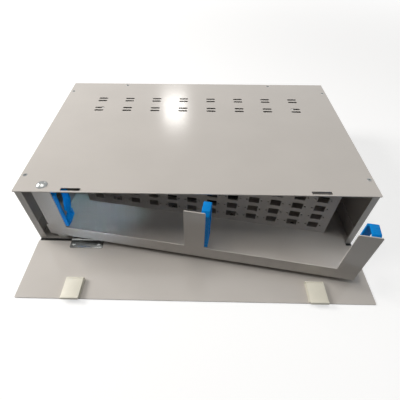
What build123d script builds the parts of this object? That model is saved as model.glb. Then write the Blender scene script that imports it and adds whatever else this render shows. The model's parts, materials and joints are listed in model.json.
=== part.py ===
from build123d import *
from math import cos, hypot, radians, sin, sqrt
import os

# Fibre patch panel, two rack units high: a sheet-steel casing, a drop-down front door with two
# spring latches, and a tray that swings out about a pivot at the casing's front left corner.
# Millimetres. The origin is the middle of the casing's underside, +Z is up and -Y is the front.

# Casing
WIDTH = 420.0
DEPTH = 274.0
HEIGHT = 88.0
SHEET = 1.2
BEND = 2.0
COVER_OVERHANG = 2.0
FRONT_LIP = 9.0
TOP_LIP = 10.0
BASE_LIP = 20.0
REAR_FLANGE = 16.0
SEAT_GAP = 0.1

# Vents in the cover: two pairs of rows
VENT_PITCH = 42.9
VENT_FROM_SIDE = 50.0
VENT_LENGTH = 14.0
VENT_WIDTH = 3.6
VENT_ROW_PITCH = 8.0
VENT_PAIR_PITCH = 29.4
VENT_FROM_BACK = 71.4

# Cover screws, countersunk
SCREW_HEAD_R = 2.8
SCREW_SHANK_R = 1.5
SCREW_LENGTH = 5.0
SIDE_SCREW_FROM_FRONT = 29.0
SIDE_SCREW_FROM_BACK = 30.0
BACK_SCREW_FROM_SIDE = 91.0

# Pivot of the swing tray
PIVOT_FROM_LEFT = 31.0
PIVOT_FROM_FRONT = 11.7
PIVOT_R = 3.0
PIVOT_CLEARANCE = 0.08
BOLT_HEAD_R = 6.9
BOLT_HEAD_HEIGHT = 3.0
NUT_ACROSS_FLATS = 10.0
NUT_HEIGHT = 4.0
SPACER_R = 9.0
SPACER_EDGE = 0.6
SWING = 9.62

# Swing tray
TRAY_OVER_LATCH = 0.4
TRAY_SIDE_GAP = 4.0
CABLE_SPACE = 50.3
TRAY_LEFT = 14.0
RAIL_SET = 8.6
RAIL_HEIGHT = 17.6
TAB_WIDTH = 24.5
TAB_GAP = 0.6
TAB_CORNER = 1.5
TAB_COUNT = 3
FIRST_TAB = 1.4
RAIL_SHORT = 0.55
LUG_DEPTH = 20.0
LUG_CORNER = 6.0

# Adapter panel
PANEL_SET = 60.0
PANEL_LEFT = 13.0
PANEL_RIGHT_GAP = 8.0
PANEL_TOP_GAP = 7.2
PANEL_FOOT = 12.0
PANEL_SCREWS = 4
PORT_PITCH = 27.0
PORT_ROW_PITCH = 14.9
PORT_MARGIN = 18.5
PORT_UP = 13.0
PORT_WIDTH = 13.0
PORT_HEIGHT = 9.4
ADAPTER_HOLE_R = 1.15
ADAPTER_HOLE_SPREAD = 18.4

# Cable rings behind the tabs, each a strip bent into a loop whose ends pass each other
RING_WIDTH = 9.5
RING_WALL = 2.8
RING_UP = 17.6
RING_DEPTH = 24.0
RING_HEEL = 20.0
RING_BEVEL = 12.0
RING_RISE = 4.0
RING_CORNER = 4.0
RING_TIP = 15.0
RING_OVERLAP = 2.0
RING_SLIT = 0.8
RING_EDGE = 0.9
RING_TOP_GAP = 1.2
RING_SHIFTS = (11.7, 11.7, 7.0)

# Splice trays behind the panel
SPLICE_COUNT = 4
SPLICE_LENGTH = 164.0
SPLICE_CLEAR = 16.8
SPLICE_CORNER = 26.0
SPLICE_PITCH = 10.0
SPLICE_WALL = 1.4
SPLICE_HUB_R = 24.0
SPLICE_HUB_SPREAD = 66.0
SPLICE_STUD_R = 2.0
SPLICE_STUD_SPREAD = 92.0
SPLICE_BOSS_R = 5.0
COMB_TEETH = 6
COMB_PITCH = 3.4
COMB_FROM_EDGE = 13.0

# Door and hinges
DOOR_SHORT = 3.0
HINGE_FROM_SIDE = 66.5
HINGE_WIDTH = 43.5
HINGE_LEAF = 11.8
HINGE_THICK = 1.0
HINGE_PLAY = 0.2
KNUCKLE_R = 1.8
PIN_R = 0.9
PIN_CLEARANCE = 0.05
KNUCKLE_FROM_CASING = 0.6
KNUCKLE_FROM_DOOR = 0.3
KNUCKLE_FROM_LEAF = 0.4
KNUCKLE_LIFT = 0.1
LEAF_SCREW_SPREAD = 33.0
LEAF_SCREW_R = 2.7
LEAF_SCREW_HEIGHT = 1.5

# Latches on the door's free edge
LATCH_WIDTH = 21.0
LATCH_LENGTH = 30.3
LATCH_WALL = 1.6
LATCH_HEIGHT = 5.2
LATCH_PAST_DOOR = 3.3
LATCH_SPLIT = 0.2
NUB_HEIGHT = 0.6
NUB_LENGTH = 2.8
NUB_FROM_TIP = 1.2
SLOT_LENGTH = 23.0
SLOT_WIDTH = 4.6
SLOT_PLAY = 0.3

# Rear cable entries, clamps and earth stud
ENTRY_FROM_SIDE = 45.0
ENTRY_UP = 44.0
GROMMET_R = 16.0
GROMMET_BORE_R = 10.0
GROMMET_LIP = 2.5
GROMMET_GROOVE = 2.5
CLAMP_WIDTH = 24.0
CLAMP_FOOT = 16.0
CLAMP_SHEET = 2.0
CLAMP_CLEAR = 8.0
EARTH_FROM_RIGHT = 100.0
EARTH_R = 3.0
EARTH_LENGTH = 8.0
SHOULDER = 0.4

# Glide pads under the tray: two near its round edge and one near its rear lip
PAD_R = 8.0
PAD_GAP = 0.2
PAD_FROM_EDGE = 44.0
PAD_ANGLES = (8.3, 24.0)
REAR_PAD_FROM_PIVOT = 60.0
REAR_PAD_FROM_LIP = 22.0

# Fixing holes for rack ears, and rivets
EAR_HOLE_R = 2.1
EAR_FROM_FRONT = 78.0
EAR_SPREAD_Y = 30.0
EAR_SPREAD_Z = 44.0
EAR_UP = 58.0
RIVET_FROM_END = 35.0
RIVET_R = 3.2
RIVET_HEIGHT = 0.8
RIVET_SHANK_R = 1.6
RIVET_COUNT = 4
REAR_RIVETS = 3
RIVET_OVER_LIP = 12.0
RIVET_UNDER_COVER = 14.8

# Places that follow from the sizes
FRONT = -DEPTH / 2
BACK = DEPTH / 2
COVER_UNDER = HEIGHT - SHEET
WRAP_FRONT = FRONT + COVER_OVERHANG
PIVOT_X = -WIDTH / 2 + PIVOT_FROM_LEFT
PIVOT_Y = FRONT + PIVOT_FROM_FRONT
HINGE_X = WIDTH / 2 - HINGE_FROM_SIDE
ENTRY_X = WIDTH / 2 - ENTRY_FROM_SIDE
EARTH_X = WIDTH / 2 - EARTH_FROM_RIGHT
VENT_COLUMNS = 1 + int((WIDTH - 2 * VENT_FROM_SIDE - VENT_LENGTH) / VENT_PITCH)
TRAY_CLEAR = SHEET + LATCH_HEIGHT + NUB_HEIGHT + TRAY_OVER_LATCH
TRAY_TOP = TRAY_CLEAR + SHEET
TRAY_RADIUS = WIDTH - PIVOT_FROM_LEFT - FRONT_LIP - TRAY_SIDE_GAP
TRAY_DEPTH = DEPTH - PIVOT_FROM_FRONT - CABLE_SPACE
TAB_TOP = COVER_UNDER - TAB_GAP
TAB_PITCH = (TRAY_RADIUS - RAIL_SHORT - TAB_WIDTH / 2 - FIRST_TAB) / (TAB_COUNT - 1)
PANEL_HEIGHT = COVER_UNDER - PANEL_TOP_GAP - TRAY_TOP
FOOT_END = PANEL_SET + SHEET + PANEL_FOOT
PANEL_ROOM = sqrt(TRAY_RADIUS ** 2 - FOOT_END ** 2) - PANEL_LEFT - PANEL_RIGHT_GAP
PORT_COLUMNS = 1 + int((PANEL_ROOM - 2 * PORT_MARGIN) / PORT_PITCH)
PORT_ROWS = 1 + int((PANEL_HEIGHT - 2 * PORT_UP) / PORT_ROW_PITCH)
PANEL_WIDTH = 2 * PORT_MARGIN + (PORT_COLUMNS - 1) * PORT_PITCH
BACK_RIGHT = sqrt(TRAY_RADIUS ** 2 - TRAY_DEPTH ** 2)
SPLICE_WIDTH = TRAY_DEPTH - SHEET - FOOT_END - 2 * SPLICE_CLEAR
SPLICE_CENTRE = ((BACK_RIGHT - TRAY_LEFT) / 2, FOOT_END + SPLICE_CLEAR + SPLICE_WIDTH / 2)
AXIS_Y = WRAP_FRONT - KNUCKLE_R - KNUCKLE_FROM_CASING
AXIS_Z = KNUCKLE_R + KNUCKLE_LIFT
LEAF_GAP = KNUCKLE_R + KNUCKLE_FROM_LEAF
DOOR_LENGTH = HEIGHT - DOOR_SHORT
DOOR_BACK = AXIS_Y - KNUCKLE_R - KNUCKLE_FROM_DOOR
DOOR_EDGE = DOOR_BACK - DOOR_LENGTH
SLOT_Y = AXIS_Y + SHEET + LATCH_HEIGHT - LATCH_WALL - AXIS_Z - SLOT_PLAY + SLOT_WIDTH / 2
LATCH_TIP = DOOR_EDGE - LATCH_PAST_DOOR
CURL_R = LATCH_HEIGHT / 2
CURL_Y = LATCH_TIP + LATCH_LENGTH - CURL_R
CURL_Z = SHEET + CURL_R
TRAY_PLACE = Pos(PIVOT_X, PIVOT_Y, 0) * Rot(0, 0, -SWING)


def block(low, high):
    """A box from its lowest to its highest corner."""
    middle = [(a + b) / 2 for a, b in zip(low, high)]
    return Pos(*middle) * Box(*[b - a for a, b in zip(low, high)])


def rod(x, y, low, high, radius):
    """An upright round bar between two heights."""
    return Pos(x, y, (low + high) / 2) * Cylinder(radius, high - low)


def cross_rod(x_one, x_two, y, z, radius):
    """A round bar along X between two places, in either order."""
    return Pos((x_one + x_two) / 2, y, z) * Rot(0, 90, 0) * Cylinder(radius, abs(x_two - x_one))


def side_profile(outline, x_low, x_high):
    """A profile in Y and Z, drawn as a sketch, pulled along X between two places."""
    plane = Plane(origin=(x_low, 0, 0), x_dir=(0, 1, 0), z_dir=(1, 0, 0))
    return extrude(plane * outline, x_high - x_low)


def hexagon_nut(x, y, low, bore_r):
    """A hexagon nut standing on a height."""
    nut = extrude(RegularPolygon(NUT_ACROSS_FLATS / 2, 6, major_radius=False) - Circle(bore_r), NUT_HEIGHT)
    return Pos(x, y, low) * nut


def cover_screw_places():
    side = WIDTH / 2 - TOP_LIP / 2
    rows = (FRONT + SIDE_SCREW_FROM_FRONT, BACK - SIDE_SCREW_FROM_BACK)
    places = [(sign * side, y) for sign in (-1, 1) for y in rows]
    back = BACK - SHEET - TOP_LIP / 2
    return places + [(sign * (WIDTH / 2 - BACK_SCREW_FROM_SIDE), back) for sign in (-1, 1)]


def countersunk_cutter(radius_extra):
    """The shape of a countersunk screw with its head's top at height 0."""
    slope = SCREW_HEAD_R - SCREW_SHANK_R
    head = Pos(0, 0, -slope / 2) * Cone(SCREW_SHANK_R + radius_extra, SCREW_HEAD_R + radius_extra, slope)
    return head + rod(0, 0, -SCREW_LENGTH, -slope, SCREW_SHANK_R + radius_extra)


def side_wall(sign):
    """Side wall bent from one sheet, with a lip at the front, a lip under the cover and fixing holes."""
    outer = WIDTH / 2
    plan = Pos(outer - SHEET / 2, (BACK + WRAP_FRONT) / 2) * Rectangle(SHEET, BACK - WRAP_FRONT)
    plan += Pos(outer - FRONT_LIP / 2, WRAP_FRONT + SHEET / 2) * Rectangle(FRONT_LIP, SHEET)
    plan = fillet(plan.vertices().sort_by_distance((outer, WRAP_FRONT, 0))[0], BEND)
    plan = fillet(plan.vertices().sort_by_distance((outer - SHEET, WRAP_FRONT + SHEET, 0))[0], BEND - SHEET)
    wall = extrude(plan, COVER_UNDER)
    base_notch = block((0, WRAP_FRONT - SHEET, -SHEET), (outer - SHEET, WRAP_FRONT + 2 * SHEET, SHEET))
    wall -= base_notch
    wall += block((outer - TOP_LIP, WRAP_FRONT + SHEET, COVER_UNDER - SHEET),
                  (outer - SHEET / 2, BACK - SHEET - SEAT_GAP, COVER_UNDER))
    for x, y in cover_screw_places():
        wall -= rod(x, y, COVER_UNDER - 2 * SHEET, COVER_UNDER + SHEET, SCREW_SHANK_R + SEAT_GAP)
    for y, z in ear_hole_places():
        wall -= cross_rod(outer - 2 * SHEET, outer + SHEET, y, z, EAR_HOLE_R)
    for y, z in side_rivet_places():
        wall -= cross_rod(outer - 2 * SHEET, outer + SHEET, y, z, RIVET_SHANK_R)
    return wall if sign > 0 else mirror(wall, Plane.YZ)


def rear_wall():
    """Rear wall with flanges inside the side walls, a lip under the cover and the cable entries."""
    half = WIDTH / 2 - SHEET
    outside = RectangleRounded(2 * half, DEPTH, BEND)
    inside = RectangleRounded(2 * half - 2 * SHEET, DEPTH - 2 * SHEET, BEND - SHEET)
    kept = Pos(0, BACK - REAR_FLANGE / 2) * Rectangle(WIDTH, REAR_FLANGE)
    wall = extrude((outside - inside) & kept, COVER_UNDER)
    inner_back = BACK - SHEET
    before = BACK - 2 * REAR_FLANGE
    wall -= block((-WIDTH, before, -SHEET), (WIDTH, inner_back, BASE_LIP + SEAT_GAP))
    wall -= block((-WIDTH, before, COVER_UNDER - SHEET - SEAT_GAP), (WIDTH, inner_back, HEIGHT))
    lip_half = WIDTH / 2 - TOP_LIP - SEAT_GAP
    wall += block((-lip_half, inner_back - TOP_LIP, COVER_UNDER - SHEET),
                  (lip_half, BACK - SHEET / 2, COVER_UNDER))
    for x, y in cover_screw_places():
        wall -= rod(x, y, COVER_UNDER - 2 * SHEET, COVER_UNDER + SHEET, SCREW_SHANK_R + SEAT_GAP)
    through = 3 * SHEET
    for sign in (-1, 1):
        entry = Pos(sign * ENTRY_X, BACK - SHEET / 2, ENTRY_UP) * Rot(90, 0, 0)
        wall -= entry * Cylinder(GROMMET_R - GROMMET_LIP + SEAT_GAP, through)
        for y, z in side_rivet_places():
            wall -= cross_rod(sign * (half - 2 * SHEET), sign * half, y, z, RIVET_SHANK_R)
    for x in rear_rivet_places():
        wall -= Pos(x, BACK - SHEET / 2, BASE_LIP / 2) * Rot(90, 0, 0) * Cylinder(RIVET_SHANK_R, through)
    earth = Pos(EARTH_X, BACK - SHEET / 2, ENTRY_UP) * Rot(90, 0, 0)
    return wall - earth * Cylinder(EARTH_R + SHOULDER + SEAT_GAP, through)


def ear_hole_places():
    middle = FRONT + EAR_FROM_FRONT
    return [(middle + a * EAR_SPREAD_Y / 2, EAR_UP + b * EAR_SPREAD_Z / 2) for a in (-1, 1) for b in (-1, 1)]


def base_rivet_places():
    step = (DEPTH - 2 * RIVET_FROM_END) / (RIVET_COUNT - 1)
    return [(FRONT + RIVET_FROM_END + k * step, BASE_LIP / 2) for k in range(RIVET_COUNT)]


def side_rivet_places():
    """Places in Y and Z of the rivets in each side wall, through the base's lip and the rear flange."""
    flange = BACK - (REAR_FLANGE + SHEET) / 2
    heights = (BASE_LIP + RIVET_OVER_LIP, COVER_UNDER - RIVET_UNDER_COVER)
    return base_rivet_places() + [(flange, up) for up in heights]


def rear_rivet_places():
    step = 2 * ENTRY_X / (REAR_RIVETS + 1)
    return [-ENTRY_X + (k + 1) * step for k in range(REAR_RIVETS)]


def base_plate():
    """Floor of the casing with upturned lips inside the side and rear walls."""
    half = WIDTH / 2 - SHEET
    inner_back = BACK - SHEET
    outline = RectangleRounded(2 * half, inner_back - WRAP_FRONT, BEND - SHEET)
    pan = Pos(0, (inner_back + WRAP_FRONT) / 2, 0) * extrude(outline, BASE_LIP)
    pan -= block((-half + SHEET, WRAP_FRONT - SHEET, SHEET), (half - SHEET, inner_back - SHEET, 2 * BASE_LIP))
    pan -= block((-WIDTH, WRAP_FRONT - SHEET, SHEET), (WIDTH, WRAP_FRONT + 2 * SHEET, 2 * BASE_LIP))
    for sign in (-1, 1):
        for y, z in base_rivet_places():
            pan -= cross_rod(sign * (half - 2 * SHEET), sign * (half + SHEET), y, z, RIVET_SHANK_R)
        for x in leaf_screw_places(sign):
            pan -= rod(x, casing_leaf_middle(), -SHEET, 2 * SHEET, SCREW_SHANK_R + SEAT_GAP)
    for x in rear_rivet_places():
        pan -= Pos(x, inner_back, BASE_LIP / 2) * Rot(90, 0, 0) * Cylinder(RIVET_SHANK_R, 3 * SHEET)
    return pan - rod(PIVOT_X, PIVOT_Y, -SHEET, 2 * SHEET, PIVOT_R + SEAT_GAP)


def rivet():
    """Blind rivet along +Z, flush at height 0, with its head inside the two sheets below."""
    shank = rod(0, 0, -2 * SHEET, 0, RIVET_SHANK_R - SEAT_GAP / 2)
    return shank + rod(0, 0, -2 * SHEET - RIVET_HEIGHT, -2 * SHEET, RIVET_R)


def wall_rivets():
    """Blind rivets that join the side walls, the rear wall and the base's lips."""
    rivets = []
    for sign in (-1, 1):
        for y, z in side_rivet_places():
            rivets.append(Pos(sign * WIDTH / 2, y, z) * Rot(0, sign * 90, 0) * rivet())
    rivets += [Pos(x, BACK, BASE_LIP / 2) * Rot(-90, 0, 0) * rivet() for x in rear_rivet_places()]
    return Compound(rivets)


def top_cover():
    """Flat cover with rows of vents, a slot for each latch and the pivot's hole."""
    cover = extrude(RectangleRounded(WIDTH, DEPTH, BEND / 2), SHEET)
    vent = SlotOverall(VENT_LENGTH, VENT_WIDTH)
    vents = Sketch()
    for pair in (-1, 1):
        for row in (-1, 1):
            y = BACK - VENT_FROM_BACK + pair * VENT_PAIR_PITCH / 2 + row * VENT_ROW_PITCH / 2
            vents += Pos(0, y) * GridLocations(VENT_PITCH, 1, VENT_COLUMNS, 1) * vent
    cover -= extrude(vents, SHEET)
    slot = RectangleRounded(SLOT_LENGTH, SLOT_WIDTH, SHEET / 2)
    for sign in (-1, 1):
        cover -= extrude(Pos(sign * HINGE_X, SLOT_Y) * slot, SHEET)
    cover = Pos(0, 0, COVER_UNDER) * cover
    for x, y in cover_screw_places():
        cover -= Pos(x, y, HEIGHT) * countersunk_cutter(SEAT_GAP / 2)
    return cover - rod(PIVOT_X, PIVOT_Y, COVER_UNDER - SHEET, HEIGHT + SHEET, PIVOT_R + SEAT_GAP / 2)


def cover_screws():
    return Compound([Pos(x, y, HEIGHT) * countersunk_cutter(0) for x, y in cover_screw_places()])


def pivot_bolt():
    """Bolt with a low domed head on the cover, on which the tray's upper lug turns."""
    dome_r = (BOLT_HEAD_R ** 2 + BOLT_HEAD_HEIGHT ** 2) / (2 * BOLT_HEAD_HEIGHT)
    dome = Pos(0, 0, HEIGHT + BOLT_HEAD_HEIGHT - dome_r) * Sphere(dome_r)
    head = dome & rod(0, 0, HEIGHT, HEIGHT + 2 * BOLT_HEAD_HEIGHT, BOLT_HEAD_R)
    low = TAB_TOP - SHEET - SEAT_GAP - NUT_HEIGHT - SHEET
    return Pos(PIVOT_X, PIVOT_Y, 0) * (head + rod(0, 0, low, HEIGHT, PIVOT_R))


def pivot_washer():
    """Thin washer between the cover and the tray's upper lug."""
    high = COVER_UNDER
    ring = rod(0, 0, TAB_TOP + SEAT_GAP, high, SPACER_R) - rod(0, 0, TAB_TOP, high, PIVOT_R + SEAT_GAP)
    return Pos(PIVOT_X, PIVOT_Y, 0) * ring


def pivot_stud():
    """Stud that stands on the base and carries the tray's floor."""
    return rod(PIVOT_X, PIVOT_Y, 0, TRAY_TOP + SEAT_GAP + NUT_HEIGHT + SHEET, PIVOT_R)


def pivot_spacer():
    """Nylon bush on the stud, on which the tray's floor rests and turns."""
    high = TRAY_CLEAR - SEAT_GAP
    bush = rod(0, 0, SHEET, high, SPACER_R) - rod(0, 0, SHEET, high, PIVOT_R + SEAT_GAP)
    rims = bush.edges().filter_by(GeomType.CIRCLE).group_by(SortBy.RADIUS)[-1]
    return Pos(PIVOT_X, PIVOT_Y, 0) * chamfer(rims, SPACER_EDGE)


def pivot_nuts():
    upper = TAB_TOP - SHEET - SEAT_GAP - NUT_HEIGHT
    lower = TRAY_TOP + SEAT_GAP
    return Compound([hexagon_nut(PIVOT_X, PIVOT_Y, low, PIVOT_R + SEAT_GAP / 2) for low in (upper, lower)])


def glide_pads():
    """Low nylon pads on the base that steady the tray's floor."""
    reach = TRAY_RADIUS - PAD_FROM_EDGE
    places = [(reach * cos(radians(a)), reach * sin(radians(a))) for a in PAD_ANGLES]
    places.append((REAR_PAD_FROM_PIVOT, TRAY_DEPTH - REAR_PAD_FROM_LIP))
    pads = []
    for dx, dy in places:
        pad = rod(PIVOT_X + dx, PIVOT_Y + dy, SHEET, TRAY_CLEAR - PAD_GAP, PAD_R)
        pads.append(chamfer(pad.edges().group_by(Axis.Z)[-1], SHEET))
    return Compound(pads)


def tab_places():
    return [FIRST_TAB + k * TAB_PITCH for k in range(TAB_COUNT)]


def tray_pan():
    """Tray floor with a round right edge about the pivot, a front rail with tabs, and low lips."""
    front = -RAIL_SET
    right = sqrt(TRAY_RADIUS ** 2 - RAIL_SET ** 2)
    outline = Circle(TRAY_RADIUS) & (Pos((right - TRAY_LEFT) / 2, (TRAY_DEPTH + front) / 2)
                                     * Rectangle(right + TRAY_LEFT, TRAY_DEPTH - front))
    pan = Pos(0, 0, TRAY_CLEAR) * extrude(outline, SHEET)
    rail_top = TRAY_CLEAR + RAIL_HEIGHT
    last = tab_places()[-1] + TAB_WIDTH / 2
    front_plane = Plane(origin=(0, front, 0), x_dir=(1, 0, 0), z_dir=(0, -1, 0))
    wall = Pos((last - TRAY_LEFT) / 2, (rail_top + TRAY_CLEAR) / 2) * Rectangle(last + TRAY_LEFT, RAIL_HEIGHT)
    for x in tab_places():
        tab = RectangleRounded(TAB_WIDTH, TAB_TOP - TRAY_TOP, TAB_CORNER)
        wall += Pos(x, (TAB_TOP + TRAY_TOP) / 2) * tab
    pan += extrude(front_plane * wall, -SHEET)
    pan += block((-TRAY_LEFT, TRAY_DEPTH - SHEET, TRAY_CLEAR), (BACK_RIGHT, TRAY_DEPTH, rail_top))
    pan += block((-TRAY_LEFT, LUG_DEPTH, TRAY_CLEAR), (SHEET - TRAY_LEFT, TRAY_DEPTH, rail_top))
    lug_half = TAB_WIDTH / 2
    lug = block((FIRST_TAB - lug_half, front, TAB_TOP - SHEET),
                (FIRST_TAB + lug_half, front + LUG_DEPTH, TAB_TOP))
    pan += fillet(lug.edges().filter_by(Axis.Z).group_by(Axis.Y)[-1], LUG_CORNER)
    pan -= rod(0, 0, 0, HEIGHT, PIVOT_R + PIVOT_CLEARANCE)
    for x, y in panel_screw_places():
        pan -= rod(x, y, TRAY_CLEAR - SHEET, TRAY_TOP + SHEET, SCREW_SHANK_R + SEAT_GAP)
    for x, y in splice_stud_places():
        pan -= rod(x, y, TRAY_CLEAR - SHEET, TRAY_TOP + SHEET, SPLICE_STUD_R + SEAT_GAP)
    return TRAY_PLACE * pan


def panel_screw_places():
    step = PANEL_WIDTH / PANEL_SCREWS
    return [(PANEL_LEFT + step * (k + 0.5), FOOT_END - PANEL_FOOT / 2) for k in range(PANEL_SCREWS)]


def adapter_panel():
    """Bent plate with a grid of adapter cut-outs, and a foot that is screwed to the tray's floor."""
    front_plane = Plane(origin=(PANEL_LEFT, PANEL_SET, TRAY_TOP), x_dir=(1, 0, 0), z_dir=(0, -1, 0))
    face = Pos(PANEL_WIDTH / 2, PANEL_HEIGHT / 2) * RectangleRounded(PANEL_WIDTH, PANEL_HEIGHT, SHEET)
    port = Sketch() + Rectangle(PORT_WIDTH, PORT_HEIGHT)
    port += GridLocations(ADAPTER_HOLE_SPREAD, 1, 2, 1) * Circle(ADAPTER_HOLE_R)
    rows_middle = PORT_UP + (PORT_ROWS - 1) * PORT_ROW_PITCH / 2
    grid = GridLocations(PORT_PITCH, PORT_ROW_PITCH, PORT_COLUMNS, PORT_ROWS)
    ports = Pos(PANEL_WIDTH / 2, rows_middle) * (Sketch() + [place * port for place in grid])
    panel = extrude(front_plane * (face - ports), -SHEET)
    panel += block((PANEL_LEFT + SHEET, PANEL_SET, TRAY_TOP),
                   (PANEL_LEFT + PANEL_WIDTH - SHEET, FOOT_END, TRAY_TOP + SHEET))
    for x, y in panel_screw_places():
        panel -= rod(x, y, TRAY_TOP - SHEET, TRAY_TOP + 2 * SHEET, SCREW_SHANK_R + SEAT_GAP)
    return TRAY_PLACE * panel


def panel_screws():
    """Pan-head screws in the panel's foot, flush with the tray's underside."""
    high = TRAY_TOP + SHEET
    screws = []
    for x, y in panel_screw_places():
        shank = rod(x, y, TRAY_CLEAR, high, SCREW_SHANK_R)
        screws.append(shank + rod(x, y, high, high + SHEET, SCREW_HEAD_R))
    return TRAY_PLACE * Compound(screws)


def strip(points, width):
    """Outline of a strip of even width along a line of points, with mitred corners."""
    line = [Vector(*point) for point in points]
    runs = [(b - a).normalized() for a, b in zip(line, line[1:])]
    sides = [Vector(-run.Y, run.X) for run in runs]
    pairs = list(zip(sides[:1] + sides, sides + sides[-1:]))
    shifts = [(a + b) * (width / 2 / (1 + a.dot(b))) for a, b in pairs]
    left = [point + shift for point, shift in zip(line, shifts)]
    right = [point - shift for point, shift in zip(line, shifts)]
    return make_face(Polyline(*left, *reversed(right), close=True))


def cable_ring(tab, shift):
    """Plastic strip bent into a loop and bonded behind a tab; its upper arm ends inside the lower one."""
    half = RING_WALL / 2
    high = TAB_TOP - RING_TOP_GAP - half
    low = TRAY_TOP + RING_UP + half
    near = SHEET - RAIL_SET + half
    far = near + RING_DEPTH - RING_WALL
    heel = near + RING_HEEL - RING_WALL
    tip = low + RING_TIP - half
    line = [(heel, tip), (heel, low + RING_RISE), (heel - RING_BEVEL, low), (near, low),
            (near, high - RING_CORNER), (near + RING_CORNER, high), (far - RING_CORNER, high),
            (far, high - RING_CORNER), (far, (low + high) / 2),
            (heel - RING_WALL - RING_SLIT, tip - RING_OVERLAP)]
    outline = strip(line, RING_WALL)
    outline = fillet(outline.vertices(), RING_EDGE)
    middle = tab + shift
    return TRAY_PLACE * side_profile(outline, middle - RING_WIDTH / 2, middle + RING_WIDTH / 2)


def splice_stud_places():
    x, y = SPLICE_CENTRE
    return [(x + sign * SPLICE_STUD_SPREAD / 2, y) for sign in (-1, 1)]


def splice_tray(level):
    """Shallow moulded tray with rounded ends, two fibre hubs and a comb of splice slots."""
    x, y = SPLICE_CENTRE
    low = TRAY_TOP + level * SPLICE_PITCH
    high = low + SPLICE_PITCH - SEAT_GAP
    outline = RectangleRounded(SPLICE_LENGTH, SPLICE_WIDTH, SPLICE_CORNER)
    shell = extrude(outline, high - low)
    shell -= Pos(0, 0, SPLICE_WALL) * extrude(offset(outline, -SPLICE_WALL), SPLICE_PITCH)
    hub = Circle(SPLICE_HUB_R) - Circle(SPLICE_HUB_R - SPLICE_WALL)
    hubs = Sketch() + [Pos(sign * SPLICE_HUB_SPREAD / 2, 0) * hub for sign in (-1, 1)]
    tooth = Rectangle(SPLICE_HUB_SPREAD / 2, SPLICE_WALL)
    first_tooth = SPLICE_WIDTH / 2 - COMB_FROM_EDGE
    teeth = Sketch() + [Pos(0, first_tooth - k * COMB_PITCH) * tooth for k in range(COMB_TEETH)]
    shell += Pos(0, 0, SPLICE_WALL / 2) * extrude(hubs + teeth, SPLICE_PITCH / 2)
    for sign in (-1, 1):
        place = sign * SPLICE_STUD_SPREAD / 2
        shell += rod(place, 0, 0, high - low, SPLICE_BOSS_R)
        shell -= rod(place, 0, -SPLICE_WALL, 2 * SPLICE_PITCH, SPLICE_STUD_R + SEAT_GAP)
    return TRAY_PLACE * Pos(x, y, low) * shell


def splice_cover():
    """Flat lid on the stack of splice trays."""
    x, y = SPLICE_CENTRE
    low = TRAY_TOP + SPLICE_COUNT * SPLICE_PITCH
    lid = extrude(RectangleRounded(SPLICE_LENGTH, SPLICE_WIDTH, SPLICE_CORNER), SPLICE_WALL)
    for sign in (-1, 1):
        lid -= rod(sign * SPLICE_STUD_SPREAD / 2, 0, -SPLICE_WALL, 2 * SPLICE_WALL, SPLICE_STUD_R + SEAT_GAP)
    return TRAY_PLACE * Pos(x, y, low) * lid


def splice_studs():
    high = TRAY_TOP + SPLICE_COUNT * SPLICE_PITCH + SPLICE_WALL + NUT_HEIGHT + SHEET
    studs = [rod(x, y, TRAY_CLEAR, high, SPLICE_STUD_R) for x, y in splice_stud_places()]
    return TRAY_PLACE * Compound(studs)


def splice_nuts():
    """Round thumb nuts on the studs."""
    low = TRAY_TOP + SPLICE_COUNT * SPLICE_PITCH + SPLICE_WALL
    nuts = []
    for x, y in splice_stud_places():
        nut = rod(x, y, low, low + NUT_HEIGHT, SPLICE_BOSS_R)
        nuts.append(nut - rod(x, y, low, low + NUT_HEIGHT, SPLICE_STUD_R + SEAT_GAP / 2))
    return TRAY_PLACE * Compound(nuts)


def door_panel():
    """Flat door, shown lying open in front of the casing with its inner face up."""
    sheet = extrude(RectangleRounded(WIDTH, DOOR_LENGTH, SHEET), SHEET)
    door = Pos(0, (DOOR_BACK + DOOR_EDGE) / 2, 0) * sheet
    for sign in (-1, 1):
        for x in leaf_screw_places(sign):
            door -= rod(x, door_leaf_middle(), -SHEET, 2 * SHEET, SCREW_SHANK_R + SEAT_GAP)
    return door


def leaf_screw_places(sign):
    middle = sign * HINGE_X
    return [middle - LEAF_SCREW_SPREAD / 2, middle + LEAF_SCREW_SPREAD / 2]


def door_leaf_middle():
    return AXIS_Y - LEAF_GAP - HINGE_LEAF / 2


def casing_leaf_middle():
    return WRAP_FRONT + HINGE_LEAF / 2


def knuckle_spans(sign):
    """Ends of the three knuckles of one hinge along X."""
    third = HINGE_WIDTH / 3
    start = sign * HINGE_X - HINGE_WIDTH / 2
    return [(start + k * third + HINGE_PLAY / 2, start + (k + 1) * third - HINGE_PLAY / 2) for k in range(3)]


def hinge_leaf(sign, spans, near, far):
    """Hinge leaf on the sheet between two places along Y, with its knuckles about the hinge axis."""
    middle = sign * HINGE_X
    top = SHEET + HINGE_THICK
    low, high = min(near, far), max(near, far)
    leaf = block((middle - HINGE_WIDTH / 2, low, SHEET), (middle + HINGE_WIDTH / 2, high, top))
    for start, end in spans:
        arm_low, arm_high = min(AXIS_Y, near), max(AXIS_Y, near)
        leaf += block((start, arm_low, SHEET), (end, arm_high, top))
        leaf += cross_rod(start, end, AXIS_Y, AXIS_Z, KNUCKLE_R)
    first = min(start for start, end in spans)
    last = max(end for start, end in spans)
    leaf -= cross_rod(first, last, AXIS_Y, AXIS_Z, PIN_R + PIN_CLEARANCE)
    for x in leaf_screw_places(sign):
        leaf -= rod(x, (near + far) / 2, 0, 2 * top, SCREW_SHANK_R + SEAT_GAP)
    return leaf


def casing_leaf(sign):
    spans = knuckle_spans(sign)
    return hinge_leaf(sign, [spans[0], spans[2]], WRAP_FRONT, WRAP_FRONT + HINGE_LEAF)


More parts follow.
